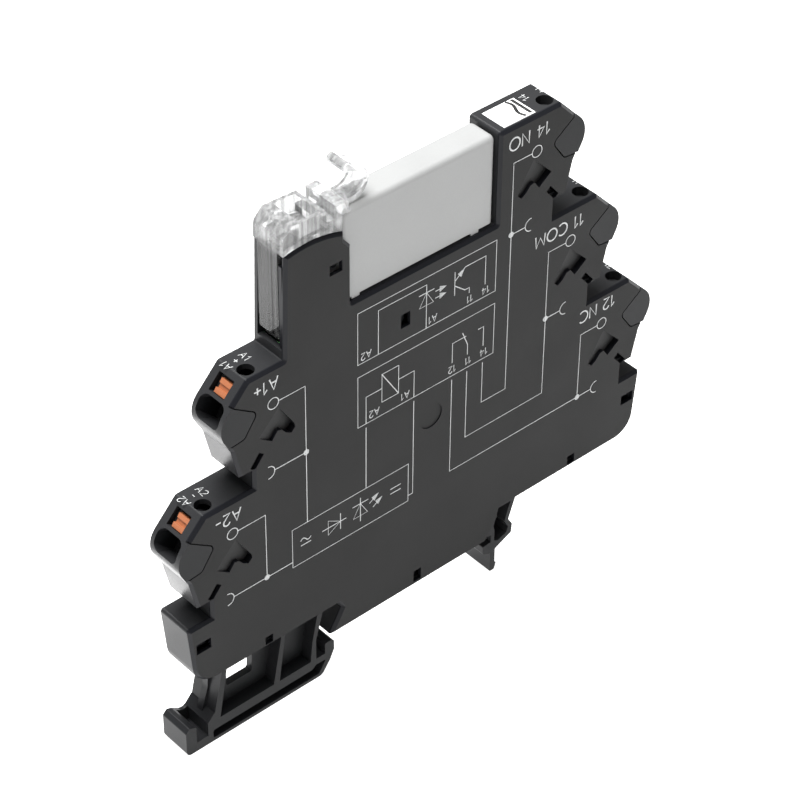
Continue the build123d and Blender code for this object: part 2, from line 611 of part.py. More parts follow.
def latch_side():
    """Side view of the latch with its pull tab, concave neck and tail, below the ribs."""
    low = FOOT_LOW
    return shape([(-41.9, low), (-41.9, -2.9), (-41.2, -2.2), (-40.4, -2.5), (-38.4, -3.9), (-36.6, -1.9),
                  (-36.4, -3.5), (-14.05, -3.5), (-14.8, -5.2), (-16.4, low)],
                 [0.9, 0.3, 0.3, 0.6, 1.2, 0, 0, 0, 2.0, 1.2])


def rail_latch():
    """Sliding foot: bar, nose under the flange, ribs, web and pull tab."""
    half = RAIL / 2
    low = FOOT_LOW
    top = BOTTOM_Z - 0.2
    nose = shape([(-15.8, -3.6), (-15.8, -1.5), (-14.05, -1.5), (-14.05, -3.6)], [0, 0.3, 0.6, 0])
    ribs = shape([(-36.9, -3.6), (-35.0, top), (-34.1, top), (-35.6, -3.6)])
    ribs += shape([(-25.6, -3.6), (-24.0, top), (-23.3, top), (-24.5, -3.6)])
    ribs += shape([(-18.6, -3.6), (-18.2, 0.3), (-17.2, top), (-16.2, top), (-half, 0.3), (-half, -3.6)])
    web = shape([(-37.6, -3.6), (-36.1, 1.3), (-35.9, top), (-17.0, top), (-18.0, -3.6)], [0, 3.0, 0, 0, 0])
    web += rect(-32.3, -half, BOTTOM_Z - 0.3, GUIDE_Z + 0.3)
    web -= shape([(-32.8, -0.6), (-32.5, 4.4), (-27.8, 4.4), (-28.0, -0.6)], 0.4)
    latch = slab(latch_side() + nose + ribs, -LATCH_Y, LATCH_Y) + slab(web, -WEB, WEB)
    guide = rect(-32.3, -half, GUIDE_Z, GUIDE_Z + 1.8) + rect(-30.6, -29.4, GUIDE_Z, GUIDE_Z + 5.0)
    latch += slab(guide, -2.3, 2.3)
    latch -= slab(rect(-40.0, -37.9, -5.8, 0), -LATCH_Y - 1, LATCH_Y - 0.6)
    groove = shape([(-37.0, low + 0.6), (-37.0, -5.3), (-18.4, -5.3), (-17.6, -4.7), (-15.6, -4.7),
                    (-17.0, low + 0.6)], [0.4, 0.4, 0, 0, 0.2, 0.4])
    latch -= slab(groove, -LATCH_Y - 1, -LATCH_Y + 1.2)
    return latch


def latch_spring():
    """Leaf from the left snap hook that pushes the latch against the rail."""
    start = AXIS_X - BLOCK_REACH + 3.89
    points = [(start, 12.6), (start + 0.85, 12.6), (-33.8, 18.8), (-30.95, 11.5)]
    return slab(strip(points, [0.6, 0.5], 0.3), -1.8, 1.8)


def build():
    os.makedirs("parts", exist_ok=True)
    save(housing_base(), "housing_base")
    save(side_cover(), "side_cover")
    save(marker_tag(), "marker_tag")
    for name in TERMINALS:
        save(at_terminal(name, release_button()), "release_button_" + name)
        save(at_terminal(name, clamp_spring()), "clamp_spring_" + name)
        save(current_bar(name), "current_bar_" + name)
    for name in ("a1", "a2"):
        save(coil_contact(name), "coil_contact_" + name)
    save(circuit_board(), "circuit_board")
    for i, (x, z) in enumerate(((-17.0, 33.0), (-13.0, 33.0), (-17.0, 28.5), (-13.0, 28.5))):
        save(board_part(x, z, 2.6, 1.6, 1.0), "rectifier_diode_%d" % (i + 1))
    save(board_part(-8.0, 38.0, 3.2, 1.6, 0.6), "led_resistor")
    save(board_part(-8.0, 30.0, 3.6, 2.8, 1.6), "suppressor_diode")
    save(board_part(-20.3, 54.75, 1.6, 1.2, 1.1), "status_led")
    save(relay_cover(), "relay_cover")
    save(relay_base(), "relay_base")
    save(coil_bobbin(), "coil_bobbin")
    save(coil_winding(), "coil_winding")
    save(core(), "relay_core")
    save(yoke(), "relay_yoke")
    save(armature(), "armature")
    save(actuator_card(), "actuator_card")
    save(contact_spring(), "contact_spring")
    save(fixed_contact("12", -1, 0.02), "contact_nc")
    save(fixed_contact("14", 1, CONTACT_GAP), "contact_no")
    save(straight_pin("11"), "contact_pin_11")
    for name in ("a1", "a2"):
        save(straight_pin(name), "coil_pin_" + name)
    save(retaining_clip(), "retaining_clip")
    save(rail_latch(), "rail_latch")
    save(latch_spring(), "latch_spring")


build()
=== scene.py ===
"""Looks of a slim plug-in relay module: moulded housing, print, clear clip, buttons and metal parts."""

import json
from math import cos, pi, radians, sin

import bpy
from mathutils import Matrix, Vector


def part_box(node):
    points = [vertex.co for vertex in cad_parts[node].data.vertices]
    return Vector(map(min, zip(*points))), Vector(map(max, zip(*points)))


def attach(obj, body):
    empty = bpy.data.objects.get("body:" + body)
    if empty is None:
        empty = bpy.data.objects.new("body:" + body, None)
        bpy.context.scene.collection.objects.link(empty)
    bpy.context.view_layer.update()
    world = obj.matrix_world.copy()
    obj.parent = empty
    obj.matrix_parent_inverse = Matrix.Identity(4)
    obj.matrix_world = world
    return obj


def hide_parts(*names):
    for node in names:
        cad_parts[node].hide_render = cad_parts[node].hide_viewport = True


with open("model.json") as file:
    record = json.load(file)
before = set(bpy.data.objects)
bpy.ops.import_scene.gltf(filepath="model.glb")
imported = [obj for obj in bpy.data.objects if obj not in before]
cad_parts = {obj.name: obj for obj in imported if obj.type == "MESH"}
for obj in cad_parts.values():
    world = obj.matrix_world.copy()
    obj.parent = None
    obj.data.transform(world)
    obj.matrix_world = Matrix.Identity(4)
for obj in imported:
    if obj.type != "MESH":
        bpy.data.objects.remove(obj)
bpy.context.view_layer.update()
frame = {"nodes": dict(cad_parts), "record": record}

MM = 0.001

# Camera, from the photograph's vanishing directions
LENS = 130.0
SENSOR = 36.0
AIM = Vector((-1.9, -3.2, 38.0)) * MM
DISTANCE = 407.5 * MM
AZIMUTH = -41.797
ELEVATION = 39.752
ROLL = 0.5675
NEAREST = 0.01
FARTHEST = 10.0

# Studio, in metres; the card lies on the floor and lights the left terminals' undersides
SHEET_SHADE = 0.5
SHEET_ROUGHNESS = 0.9
SHEET_CELLS = 8
FLOOR_SIZE = (4.0, 4.0)
FLOOR_GLOW = 1.05
CARD_X = (-0.044, -0.033)
CARD_Y = (0.018, 0.050)
CARD_LIFT = 0.0002
CARD_GLOW = 4.4
WORLD_GLOW = 0.32
LIGHT_SIDE = 0.5
LIGHT_AIM = Vector((0, 0, 0.04))
LIGHTS = {"sky_box": ((-0.05, 0.12, 0.7), 12.0), "left_box": ((-0.7, 0.1, 0.25), 0.1),
          "front_box": ((-0.1, -0.8, 0.3), 0.4)}

# Grain that the mould leaves, and the slower shades of the plastic's flow
GRAIN_SCALE = 9000.0
GRAIN_RELIEF = 0.02 * MM
SHADE_SCALE = 90
SHADE = 0.15

# Plain plastics: colour, roughness and depth of the grain
PLASTICS = {
    "tag": ((0.84, 0.84, 0.84), 0.5, 0.15),
    "button": ((0.35, 0.117, 0.048), 0.45, 0.2),
    "relay_shell": ((0.32, 0.323, 0.321), 0.5, 0.1),
    "relay_plate": ((0.06, 0.06, 0.065), 0.5, 0.3),
    "lens": ((0.25, 0.6, 0.25), 0.15, 0.05),
    "board": ((0.012, 0.06, 0.028), 0.4, 0.1),
    "smd": ((0.02, 0.02, 0.02), 0.4, 0.2),
    "winding": ((0.5, 0.2, 0.06), 0.25, 0.5),
    "ink": ((0.60, 0.61, 0.61), 0.6, 0.1),
    "tag_ink": ((0.01, 0.01, 0.01), 0.5, 0.1),
}

# Black mouldings: colour of the broad sides, colour of the edges and roughness of the sides; the edges'
# colour holds painted light and shade, lighter on the housing's and latch's shelves and tops, darker on the
# cover's bevels
BLACK_MOULDINGS = {
    "cover": ((0.0135, 0.0135, 0.0135), (0.009, 0.0095, 0.012), 0.6),
    "housing": ((0.0095, 0.010, 0.011), (0.025, 0.0255, 0.027), 0.5),
    "latch": ((0.0105, 0.011, 0.0118), (0.016, 0.0165, 0.018), 0.5),
}
EDGE_ROUGHNESS = 0.32
BLACK_SPECULAR = 0.18
SIDES_FROM = (0.92, 0.97)         # how far a face has to look sideways to count as a broad side

# Metals: colour and roughness
METALS = {
    "copper": ((0.75, 0.62, 0.5), 0.3),
    "contact": ((0.8, 0.65, 0.35), 0.28),
    "steel": ((0.62, 0.62, 0.64), 0.25),
    "iron": ((0.45, 0.45, 0.47), 0.35),
}
BRUSH_SCALE = (400, 9000, 400)
BRUSH_SHADES = (0.85, 1.1)
BRUSH_RELIEF = 0.01 * MM

# Clear clip, with flow lines down its leg; the leg's tone is painted shade, and above a height in metres the
# head is painted paler as light from above
CLEAR_COLOR = (0.90, 0.905, 0.905)
CLEAR_ROUGHNESS = 0.06
CLEAR_TRANSMISSION = 0.76
CLEAR_IOR = 1.32
FLOW_SCALE = (1500, 1500, 40)
FLOW_SPREAD = (0.38, 0.62)
# Leg shades are painted shade; head shades are painted light from above
LEG_PAINTED_SHADE = (0.01, 0.3)
HEAD_PAINTED_LIGHT = (0.6, 1.1)
HEAD_FROM = 0.072
HEAD_BLEND = 3 * MM

# Buttons in millimetres, outwards from the middle of the wire bore and above the wire's axis
BUTTON_ABOVE = (2.5, 4.7)
BUTTON_HALF = 1.15
BUTTON_STEPS = (4.5, 4.0, 4.25)       # reach of the head's lower step, groove and upper step
BUTTON_COLLAR = (1.05, 2.25)
COLLAR_PROUD = 0.4
COLLAR_SIDE = 0.5
STEM_BELOW = 0.35
STEM_SIDE = 0.05
BUTTON_END = -2.8

# Print in millimetres: height of the ink, widths of its lines and heights of its letters
PRINT_LIFT = 0.012
LINE = 0.15
BOLD = 0.26
THIN = 0.16
CAP_LARGE = 2.05
CAP_SMALL = 1.2
SPACING = 0.22                     # between letters, as a share of their height
FACE_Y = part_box("side_cover")[0].y

# Circuit drawing on the face, in millimetres along the module and up
RING = 0.93
SOCKET = 1.06
RING_STEPS = 28
DOT = 0.48
DOT_RINGS = (0.15, 0.5, 0.85)         # shares of the dot's radius
DIODE = 1.35                          # half height of its triangle
SWITCH_DIODE = 1.3
DIODE_HALF = 0.85                     # half length, reach of the bar and of the leads, as shares of that
DIODE_BAR = 1.1
DIODE_LEAD = 0.8
ARROW = 1.15                          # length of a small arrow head
ARROW_HALF = 0.4                      # its half width as a share, and the widths of its filling strokes
ARROW_FILL = (1.0, 0.7, 0.4, 0.1)

# Boxes of the drawing as left, right, bottom and top, and the lines that join them
SUPPLY_BOX = (-21.96, -0.16, 17.93, 25.06)
RELAY_BOX = (-9.74, 16.01, 37.12, 46.17)
SWITCH_BOX = (-9.74, 16.01, 48.41, 57.38)
COIL_BOX = (-5.30, -2.20, 39.45, 44.46)
COIL_LEADS = (-8.23, 0.73)
COIL_LEVEL = 41.93
COLUMNS = {"12": 7.99, "11": 10.92, "14": 13.98}
BUS_LEVELS = {"11": 23.96, "14": 28.93}
BUS_TOP = 36.39
RETURN_LEVEL = 18.95

# Each terminal: middle of its ring, then along the module its socket sign and its dot, and their height
TERMINALS = {
    "A1": ((-24.74, 49.84), -25.84, -19.15, 38.02),
    "A2": ((-32.48, 30.77), -33.70, -26.65, 18.99),
    "14": ((23.15, 69.19), 22.53, 18.74, 56.93),
    "11": ((30.77, 50.12), 30.40, 26.41, 38.02),
    "12": ((38.43, 31.01), 38.02, 34.07, 18.99),
}

# Words of the face, each with the place of its middle
LARGE_WORDS = (("A1+", -25.9, 53.2), ("A2-", -33.1, 33.8), ("14 NO", 21.6, 72.4), ("11 COM", 28.4, 53.0),
               ("12 NC", 37.3, 34.3))
SMALL_WORDS = (("A2", -8.2, 49.45), ("A1", 4.1, 49.5), ("11", 11.1, 49.5), ("14", 14.1, 49.5),
               ("A2", -6.7, 38.3), ("A1", -0.9, 38.3), ("12", 8.0, 38.3), ("11", 11.1, 38.3),
               ("14", 14.1, 38.3))

# Labels on the terminal shelves, in millimetres
NOSE_FROM_BORE = (4.595, 7.652)      # the wire bore's middle, inwards from the nose's tip and below its shelf
SHELF_LABELS = (4.7, 7.9)            # middles of the two labels on a shelf, from the tip
SHELF_LABEL_Y = 1.3
SHELF_SIGNS = {"A1": "+", "A2": "-"}

# Sign on the marker tag, in millimetres: a bar and a wave, their distance from the tag's end and their widths
TAG_BAR_FROM = 0.7
TAG_WAVE_FROM = 1.75
TAG_BAR = 4.1
TAG_BAR_WIDTH = 0.55
TAG_WAVE = (4.2, 0.34)               # length and height
TAG_WAVE_WIDTH = 0.5


def deselect():
    bpy.ops.object.select_all(action="DESELECT")


def settle(piece, place=Matrix.Identity(4)):
    """Puts a piece's place into its mesh."""
    piece.data.transform(place @ piece.matrix_world)
    piece.matrix_world = Matrix.Identity(4)
    return piece


def side_of(x):
    """1 for a length towards the contacts' end of the module, -1 for one towards the coil's."""
    return 1 if x > 0 else -1


def wire_entries():
    """Each terminal's name with its wire entry from the record."""
    for mount in frame["record"]["mounts"]:
        if mount["name"].startswith("wire_entry_"):
            yield mount["name"].rsplit("_", 1)[1], mount


def add_camera():
    """Camera at the photograph's viewing angle."""
    a, e, r = radians(AZIMUTH), radians(ELEVATION), radians(ROLL)
    back = Vector((sin(a) * cos(e), -cos(a) * cos(e), sin(e)))
    right = Vector((cos(a), sin(a), 0))
    up = back.cross(right)
    x = right * cos(r) + up * sin(r)
    y = up * cos(r) - right * sin(r)
    data = bpy.data.cameras.new("camera")
    data.lens = LENS
    data.sensor_width = SENSOR
    data.clip_start = NEAREST
    data.clip_end = FARTHEST
    camera = bpy.data.objects.new("camera", data)
    bpy.context.scene.collection.objects.link(camera)
    turn = Matrix((x, y, back)).transposed().to_4x4()
    camera.matrix_world = Matrix.Translation(AIM + back * DISTANCE) @ turn
    bpy.context.scene.camera = camera


def add_light(name, place, power):
    """Square soft box that looks at the middle of the module."""
    data = bpy.data.lights.new(name, "AREA")
    data.size = LIGHT_SIDE
    data.energy = power
    light = bpy.data.objects.new(name, data)
    bpy.context.scene.collection.objects.link(light)
    turn = (Vector(place) - LIGHT_AIM).to_track_quat("Z", "Y").to_matrix().to_4x4()
    light.matrix_world = Matrix.Translation(place) @ turn


def glowing(name, glow):
    """Matt material of a studio sheet that gives off light of its own."""
    material = bpy.data.materials.new(name)
    material.use_nodes = True
    shader = material.node_tree.nodes["Principled BSDF"].inputs
    shader["Base Color"].default_value = (SHEET_SHADE, SHEET_SHADE, SHEET_SHADE, 1)
    shader["Roughness"].default_value = SHEET_ROUGHNESS
    shader["Specular IOR Level"].default_value = 0
    shader["Emission Color"].default_value = (1, 1, 1, 1)
    shader["Emission Strength"].default_value = glow
    return material


def add_sheet(name, size, place, material):
    """Flat sheet of the studio, not part of the object."""
    deselect()
    bpy.ops.mesh.primitive_grid_add(x_subdivisions=SHEET_CELLS, y_subdivisions=SHEET_CELLS, size=1,
                                    location=place)
    sheet = bpy.context.object
    sheet.scale = (*size, 1)
    bpy.context.view_layer.update()
    settle(sheet)
    sheet.name = name
    sheet.data.materials.append(material)


def add_stage():
    """Pale glowing floor, a bright card on it, dim sky and soft boxes."""
    floor_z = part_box("rail_latch")[0].z
    add_sheet("floor", FLOOR_SIZE, (0, 0, floor_z), glowing("studio_floor", FLOOR_GLOW))
    (x0, x1), (y0, y1) = CARD_X, CARD_Y
    add_sheet("card", (x1 - x0, y1 - y0), ((x0 + x1) / 2, (y0 + y1) / 2, floor_z + CARD_LIFT),
              glowing("studio_card", CARD_GLOW))
    world = bpy.data.worlds.new("studio")
    world.use_nodes = True
    sky = world.node_tree.nodes["Background"].inputs
    sky["Color"].default_value = (1, 1, 1, 1)
    sky["Strength"].default_value = WORLD_GLOW
    bpy.context.scene.world = world
    bpy.context.scene.view_settings.view_transform = "Standard"
    for name, (place, power) in LIGHTS.items():
        add_light(name, place, power)


def feed(tree, value, socket):
    """Links another node's output to an input, or sets a plain value on it."""
    if isinstance(value, bpy.types.NodeSocket):
        tree.links.new(value, socket)
    else:
        socket.default_value = value


def add_node(tree, kind, feeds, **settings):
    """Shader node with its settings, and its inputs fed by name or number."""
    node = tree.nodes.new(kind)
    for name, value in settings.items():
        setattr(node, name, value)
    for label, value in feeds.items():
        feed(tree, value, node.inputs[label])
    return node


def new_group(name, inputs):
    """Shader node group for a surface: the group, what it is given and what it puts out."""
    group = bpy.data.node_groups.new(name, "ShaderNodeTree")
    for label, value in inputs.items():
        kind = "NodeSocketColor" if isinstance(value, tuple) else "NodeSocketFloat"
        socket = group.interface.new_socket(name=label, in_out="INPUT", socket_type=kind)
        socket.default_value = value
    for label, kind in (("Color", "NodeSocketColor"), ("Roughness", "NodeSocketFloat"),
                        ("Normal", "NodeSocketVector")):
        group.interface.new_socket(name=label, in_out="OUTPUT", socket_type=kind)
    given = add_node(group, "NodeGroupInput", {}).outputs
    return group, given, add_node(group, "NodeGroupOutput", {}).inputs


def calculated(tree, operation, first, second, clamp=False):
    """Result of a math node on two numbers."""
    node = add_node(tree, "ShaderNodeMath", {0: first, 1: second}, operation=operation, use_clamp=clamp)
    return node.outputs[0]


def ranged(tree, value, source, target):
    """A number from one range brought into another, and held inside it."""
    node = add_node(tree, "ShaderNodeMapRange",
                    {"Value": value, "From Min": source[0], "From Max": source[1],
                     "To Min": target[0], "To Max": target[1]})
    return node.outputs["Result"]


def mixed(tree, kind, share, first, second):
    """Mix of two numbers (VALUE) or two colours (RGBA)."""
    node = add_node(tree, "ShaderNodeMix", {0: share}, data_type="FLOAT" if kind == "VALUE" else kind)
    ends = [socket for socket in node.inputs if socket.name in ("A", "B") and socket.type == kind]
    for value, socket in zip((first, second), ends):
        feed(tree, value, socket)
    return next(socket for socket in node.outputs if socket.type == kind)


def noise(tree, place, scale, detail):
    node = add_node(tree, "ShaderNodeTexNoise", {"Vector": place, "Scale": scale, "Detail": detail})
    return node.outputs["Fac"]


def stretched(tree, place, scale):
    node = add_node(tree, "ShaderNodeMapping", {"Vector": place, "Scale": scale})
    return node.outputs["Vector"]


def tinted(tree, color, value):
    node = add_node(tree, "ShaderNodeHueSaturation", {"Color": color, "Value": value})
    return node.outputs["Color"]


def relief(tree, height, strength, depth):
    """Normal of a fine relief, with its full depth in metres."""
    node = add_node(tree, "ShaderNodeBump", {"Height": height, "Strength": strength, "Distance": depth})
    return node.outputs["Normal"]


def coordinates(tree):
    return add_node(tree, "ShaderNodeTexCoord", {}).outputs


def put_out(group, result, surface):
    """Sends a surface's colour, roughness and normal out of a group."""
    for label in ("Color", "Roughness", "Normal"):
        feed(group, surface[label], result[label])
    return group


def moulded_grain():
    """Fine eroded texture of a mould, with slow flow shades."""
    group, given, result = new_group("moulded_grain", {
        "Color": (0.05, 0.05, 0.05, 1), "Grain Scale": GRAIN_SCALE, "Grain Depth": 0.25, "Shade": SHADE,
        "Roughness": 0.5})
    place = coordinates(group)["Object"]
    fine = noise(group, place, given["Grain Scale"], 2)
    flow = noise(group, place, SHADE_SCALE, 3)
    centred = calculated(group, "SUBTRACT", calculated(group, "ADD", fine, flow), 1.0)
    amount = calculated(group, "MULTIPLY", centred, given["Shade"])
    return put_out(group, result, {
        "Color": tinted(group, given["Color"], calculated(group, "ADD", amount, 1.0)),
        "Roughness": calculated(group, "ADD", given["Roughness"], amount, clamp=True),
        "Normal": relief(group, fine, given["Grain Depth"], GRAIN_RELIEF)})


def brushed_metal():
    """Fine lines along one direction of rolled or drawn strip."""
    group, given, result = new_group("brushed_metal", {
        "Color": (0.6, 0.6, 0.6, 1), "Line Depth": 0.3, "Roughness": 0.3})
    lines = noise(group, stretched(group, coordinates(group)["Object"], BRUSH_SCALE), 1, 3)
    shade = ranged(group, lines, (0, 1), BRUSH_SHADES)
    return put_out(group, result, {
        "Color": tinted(group, given["Color"], shade),
        "Roughness": calculated(group, "MULTIPLY", given["Roughness"], shade),
        "Normal": relief(group, lines, given["Line Depth"], BRUSH_RELIEF)})


def two_finishes_and_painted_light(grain):
    """Broad sides from a matt mould and plainer, glossier edges, both with the moulded grain; the edges'
    colour is painted light and shade: lighter shelves and tops on the housing and latch, darker bevels on the
    cover.
    """
    group, given, result = new_group("two_finishes_and_painted_light", {
        "Color": (0.02, 0.02, 0.02, 1), "Edge Color With Painted Light": (0.01, 0.01, 0.012, 1), "Roughness": 0.6,
        "Edge Roughness": 0.35, "Grain Depth": 0.3})
    facing = add_node(group, "ShaderNodeSeparateXYZ", {"Vector": coordinates(group)["Normal"]})
    sideways = add_node(group, "ShaderNodeMath", {0: facing.outputs["Y"]}, operation="ABSOLUTE")
    # Faces off the broad sides get the glossier edge roughness and the edge colour, which is painted light
    # and shade
    flat = ranged(group, sideways.outputs[0], SIDES_FROM, (0, 1))
    surface = add_node(group, "ShaderNodeGroup", {
        "Color": mixed(group, "RGBA", flat, given["Edge Color With Painted Light"], given["Color"]),
        "Roughness": mixed(group, "VALUE", flat, given["Edge Roughness"], given["Roughness"]),
        "Grain Depth": given["Grain Depth"]}, node_tree=grain)
    return put_out(group, result, surface.outputs)


def clear_mould(grain):
    """Clear plastic with flow lines down the leg of the clip; the leg is darkened with painted shade and the
    head brightened with painted light.
    """
    group, given, result = new_group("clear_mould", {
        "Color": (0.95, 0.95, 0.95, 1), "Roughness": 0.1, "Grain Depth": 0.05})
    place = coordinates(group)["Object"]
    flow = noise(group, stretched(group, place, FLOW_SCALE), 1, 1)
    leg, head = (ranged(group, flow, FLOW_SPREAD, shades) for shades in (LEG_PAINTED_SHADE, HEAD_PAINTED_LIGHT))
    height = add_node(group, "ShaderNodeSeparateXYZ", {"Vector": place}).outputs["Z"]
    # From HEAD_FROM upwards the clip's colour moves from painted leg shade to painted head light
    share = ranged(group, height, (HEAD_FROM, HEAD_FROM + HEAD_BLEND), (0, 1))
    shade = add_node(group, "ShaderNodeVectorMath", {
        0: given["Color"], "Scale": mixed(group, "VALUE", share, leg, head)}, operation="SCALE")
    surface = add_node(group, "ShaderNodeGroup", {
        "Color": shade.outputs["Vector"], "Roughness": given["Roughness"],
        "Grain Depth": given["Grain Depth"]}, node_tree=grain)
    return put_out(group, result, surface.outputs)


def finish(name, group, color, values, **sockets):
    """Material whose surface comes from a shared group, with its own settings on the shader."""
    material = bpy.data.materials.new(name)
    material.use_nodes = True
    tree = material.node_tree
    shader = tree.nodes["Principled BSDF"].inputs
    surface = add_node(tree, "ShaderNodeGroup", {"Color": (*color, 1), **values}, node_tree=group).outputs
    for label, target in (("Color", "Base Color"), ("Roughness", "Roughness"), ("Normal", "Normal")):
        tree.links.new(surface[label], shader[target])
    for label, value in sockets.items():
        shader[label.replace("_", " ")].default_value = value
    return material


def make_materials():
    """One material for each slot of the record, and the two inks."""
    grain, metal = moulded_grain(), brushed_metal()
    sides = two_finishes_and_painted_light(grain)
    made = {}
    for name, (color, rough, depth) in PLASTICS.items():
        made[name] = finish(name, grain, color, {"Roughness": rough, "Grain Depth": depth})
    # Edge colours are painted light and shade: lighter on the housing's and latch's shelves and tops, darker
    # on the cover's bevels
    for name, (color, edge_with_painted_light, rough) in BLACK_MOULDINGS.items():
        values = {"Edge Color With Painted Light": (*edge_with_painted_light, 1), "Roughness": rough, "Edge Roughness": EDGE_ROUGHNESS}
        made[name] = finish(name, sides, color, values, Specular_IOR_Level=BLACK_SPECULAR)
    for name, (color, rough) in METALS.items():
        made[name] = finish(name, metal, color, {"Roughness": rough}, Metallic=1.0)
    made["clear"] = finish("clear", clear_mould(grain), CLEAR_COLOR, {"Roughness": CLEAR_ROUGHNESS},
                           Transmission_Weight=CLEAR_TRANSMISSION, IOR=CLEAR_IOR)
    return made


def dress(piece, material):
    """Gives a piece one material, in place of any it had."""
    piece.data.materials.clear()
    piece.data.materials.append(material)


def dress_nodes(materials):
    """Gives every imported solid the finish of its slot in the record."""
    for part in frame["record"]["subparts"]:
        dress(frame["nodes"][part["node"]], materials[part["material_slot"]])


def block(along, above, half):
    """Box of a button, from its reach along and above the wire's axis."""
    (s0, s1), (t0, t1) = along, above
    deselect()
    bpy.ops.mesh.primitive_cube_add(size=1)
    size = Matrix.Diagonal((s1 - s0, 2 * half, t1 - t0, 1))
    return settle(bpy.context.object, Matrix.Translation(Vector((s0 + s1, 0, t0 + t1)) / 2) @ size)


def united(pieces):
    """One closed piece from several that touch or overlap."""
    whole = pieces[0]
    for piece in pieces[1:]:
        union = whole.modifiers.new("union", "BOOLEAN")
        union.operation = "UNION"
        union.solver = "EXACT"
        union.object = piece
        bpy.context.view_layer.objects.active = whole
        bpy.ops.object.modifier_apply(modifier=union.name)
        bpy.data.objects.remove(piece)
    return whole


def make_button(name, mount, material):
    """Push button whose head lies below the nose's slope, with a groove for the screwdriver."""
    outwards = Vector(mount["axis"])
    above = Vector((-side_of(outwards.x) * outwards.z, 0, abs(outwards.x)))
    turn = Matrix((outwards, above.cross(outwards), above)).transposed().to_4x4()
    place = Matrix.Translation(mount["pos_m"]) @ turn
    low, high = BUTTON_ABOVE
    rise = (high - low) / len(BUTTON_STEPS)
    collar_middle = sum(BUTTON_COLLAR) / 2
    collar = block(BUTTON_COLLAR, (low, high + COLLAR_PROUD), BUTTON_HALF + COLLAR_SIDE)
    stem = block((BUTTON_END, collar_middle), (low + STEM_BELOW, high - STEM_BELOW), BUTTON_HALF - STEM_SIDE)
    steps = [block((collar_middle, reach), (low + i * rise, low + (i + 1) * rise), BUTTON_HALF)
             for i, reach in enumerate(BUTTON_STEPS)]
    button = settle(united([collar, stem] + steps), place @ Matrix.Scale(MM, 4))
    button.name = "button_head_" + name
    dress(button, material)
    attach(button, "button_" + name)
    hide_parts("release_button_" + name)


def ribbon(runs, width):
    """Lines of a round section: each run is a list of (x, z) in millimetres, closed where its ends meet."""
    data = bpy.data.curves.new("lines", "CURVE")
    data.dimensions = "3D"
    data.bevel_depth = width / 2 * MM
    data.bevel_resolution = 0
    data.use_fill_caps = True
    for run in runs:
        closed = run[0] == run[-1]
        points = run[:-1] if closed else run
        spline = data.splines.new("POLY")
        spline.points.add(len(points) - 1)
        for point, (x, z) in zip(spline.points, points):
            point.co = (x * MM, 0, z * MM, 1)
        spline.use_cyclic_u = closed
    lines = bpy.data.objects.new("lines", data)
    bpy.context.scene.collection.objects.link(lines)
    return lines


def as_print(runs, width, place):
    """Lines pressed thin as ink and put where place says; before that they face -Y."""
    deselect()
    lines = ribbon(runs, width)
    lines.select_set(True)
    bpy.context.view_layer.objects.active = lines
    bpy.ops.object.convert(target="MESH")
    return settle(bpy.context.object, place @ Matrix.Diagonal((1, PRINT_LIFT / (width / 2), 1, 1)))


def join(pieces, name, material):
    """One piece of ink on the housing."""
    deselect()
    for piece in pieces:
        piece.select_set(True)
    bpy.context.view_layer.objects.active = pieces[0]
    bpy.ops.object.join()
    ink = bpy.context.object
    ink.name = name
    dress(ink, material)
    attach(ink, "housing")


def bow(x, z, rx, rz, start, end, steps=16):
    """Part of an ellipse."""
    turn = radians(end - start) / steps
    return [(x + rx * cos(radians(start) + turn * i), z + rz * sin(radians(start) + turn * i))
            for i in range(steps + 1)]


def ring(x, z, r):
    points = bow(x, z, r, r, 0, 360, RING_STEPS)
    return points[:-1] + [points[0]]


def dot(x, z, r):
    """Filled dot as rings whose lines meet."""
    return [ring(x, z, r * share) for share in DOT_RINGS]


def box_run(x0, x1, z0, z1):
    return [(x0, z0), (x1, z0), (x1, z1), (x0, z1), (x0, z0)]


def level_run(x0, x1, z):
    return [(x0, z), (x1, z)]


def wave_run(x, z, width, height, steps=12):
    """One period of the alternating-current sign."""
    return [(x + width * (i / steps - 0.5), z + height * sin(2 * pi * i / steps)) for i in range(steps + 1)]


def headings(direction):
    """Unit vectors along a direction in degrees and across it."""
    a = radians(direction)
    return Vector((cos(a), sin(a))), Vector((-sin(a), cos(a)))


def triangle_run(tip, base, half):
    return [tuple(base + half), tuple(tip), tuple(base - half), tuple(base + half)]


def arrow_head(x, z, direction):
    """Outline and filling strokes of a small arrow head."""
    along, across = headings(direction)
    tip = Vector((x, z))
    base, half = tip - along * ARROW, across * ARROW * ARROW_HALF
    return [triangle_run(tip, base, half * share) for share in ARROW_FILL]


def diode_runs(x, z, direction, size=DIODE):
    """Diode symbol: triangle, bar and lead."""
    along, across = headings(direction)
    middle = Vector((x, z))
    tip, base = middle + along * size * DIODE_HALF, middle - along * size * DIODE_HALF
    return [triangle_run(tip, base, across * size),
            [tuple(tip + across * size * DIODE_BAR), tuple(tip - across * size * DIODE_BAR)],
            [tuple(base - along * size * DIODE_LEAD), tuple(tip + along * size * DIODE_LEAD)]]


